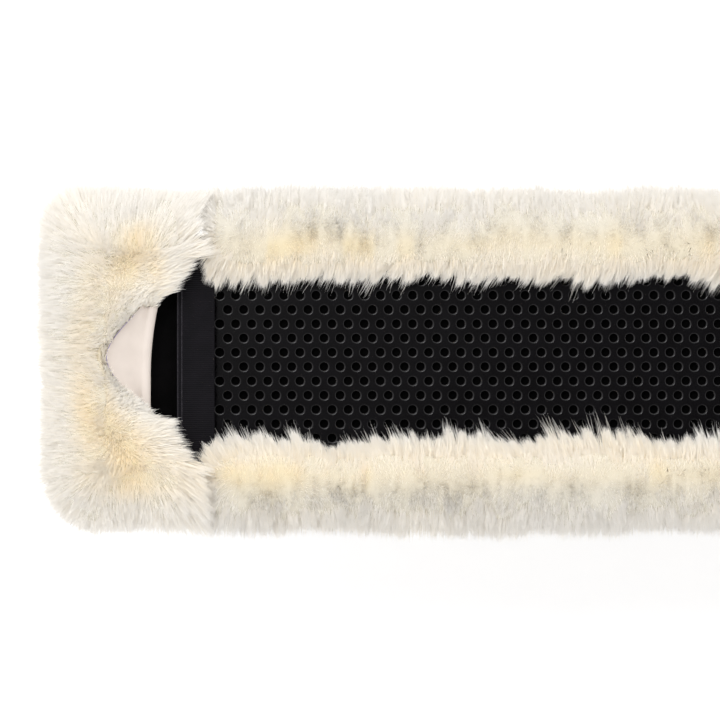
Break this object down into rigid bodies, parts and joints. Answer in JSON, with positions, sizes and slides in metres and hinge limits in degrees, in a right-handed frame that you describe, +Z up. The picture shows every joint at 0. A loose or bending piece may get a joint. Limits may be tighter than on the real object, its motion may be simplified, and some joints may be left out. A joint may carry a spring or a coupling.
{
  "type": "lambskin saddle girth cover",
  "caption": "Long lambskin girth cover with rolled wool edges, perforated liner, closed end pockets and elastic keepers",
  "frame": {"origin": "centre of the bottom of the cover, which lies with its horse side down", "axes": "+X along the cover, +Y towards its front edge, +Z up, away from the horse side"},
  "size_m": [0.7, 0.18, 0.06],
  "materials": {
    "lambswool": "long dense cream wool",
    "hide": "cream suede, skin side of the lambskin",
    "foam": "closed-cell foam",
    "liner": "black perforated neoprene, satin",
    "panel": "plain black woven facing",
    "elastic": "black ribbed woven elastic"
  },
  "bodies": {
    "centre": {"wool_base_centre": "lambswool", "hide_centre": "hide", "foam_core_centre": "foam", "liner_centre": "liner", "wool_roll_front_centre": "lambswool", "wool_roll_rear_centre": "lambswool"},
    "left_section": {"wool_base_left": "lambswool", "hide_left": "hide", "foam_core_left": "foam", "liner_left": "liner", "wool_roll_front_left": "lambswool", "wool_roll_rear_left": "lambswool", "end_panel_left": "panel", "end_fold_left": "hide", "wool_end_left": "lambswool", "keeper_anchor_front_left": "elastic", "keeper_anchor_rear_left": "elastic"},
    "left_flap": {"pocket_hide_left": "hide", "pocket_wool_left": "lambswool", "pocket_side_front_left": "lambswool", "pocket_side_rear_left": "lambswool", "mouth_tab_left": "hide"},
    "left_keeper": {"keeper_band_left": "elastic"},
    "right_section": {"wool_base_right": "lambswool", "hide_right": "hide", "foam_core_right": "foam", "liner_right": "liner", "wool_roll_front_right": "lambswool", "wool_roll_rear_right": "lambswool", "end_panel_right": "panel", "end_fold_right": "hide", "wool_end_right": "lambswool", "keeper_anchor_front_right": "elastic", "keeper_anchor_rear_right": "elastic"},
    "right_flap": {"pocket_hide_right": "hide", "pocket_wool_right": "lambswool", "pocket_side_front_right": "lambswool", "pocket_side_rear_right": "lambswool", "mouth_tab_right": "hide"},
    "right_keeper": {"keeper_band_right": "elastic"}
  },
  "joints": [
    {"name": "flex_left", "type": "hinge", "parent": "centre", "child": "left_section", "pos_m": [-0.12, 0, 0.02185], "axis": [0, -1, 0], "range_deg": [-10, 40]},
    {"name": "pocket_left", "type": "hinge", "parent": "left_section", "child": "left_flap", "pos_m": [-0.3262, 0, 0.041], "axis": [0, -1, 0], "range_deg": [0, 14]},
    {"name": "keeper_left", "type": "slide", "parent": "left_section", "child": "left_keeper", "axis": [0, 0, 1], "range_m": [0, 0.012], "stiffness_N_per_m": 300},
    {"name": "flex_right", "type": "hinge", "parent": "centre", "child": "right_section", "pos_m": [0.12, 0, 0.02185], "axis": [0, 1, 0], "range_deg": [-10, 40]},
    {"name": "pocket_right", "type": "hinge", "parent": "right_section", "child": "right_flap", "pos_m": [0.3262, 0, 0.041], "axis": [0, 1, 0], "range_deg": [0, 14]},
    {"name": "keeper_right", "type": "slide", "parent": "right_section", "child": "right_keeper", "axis": [0, 0, 1], "range_m": [0, 0.012], "stiffness_N_per_m": 300}
  ]
}
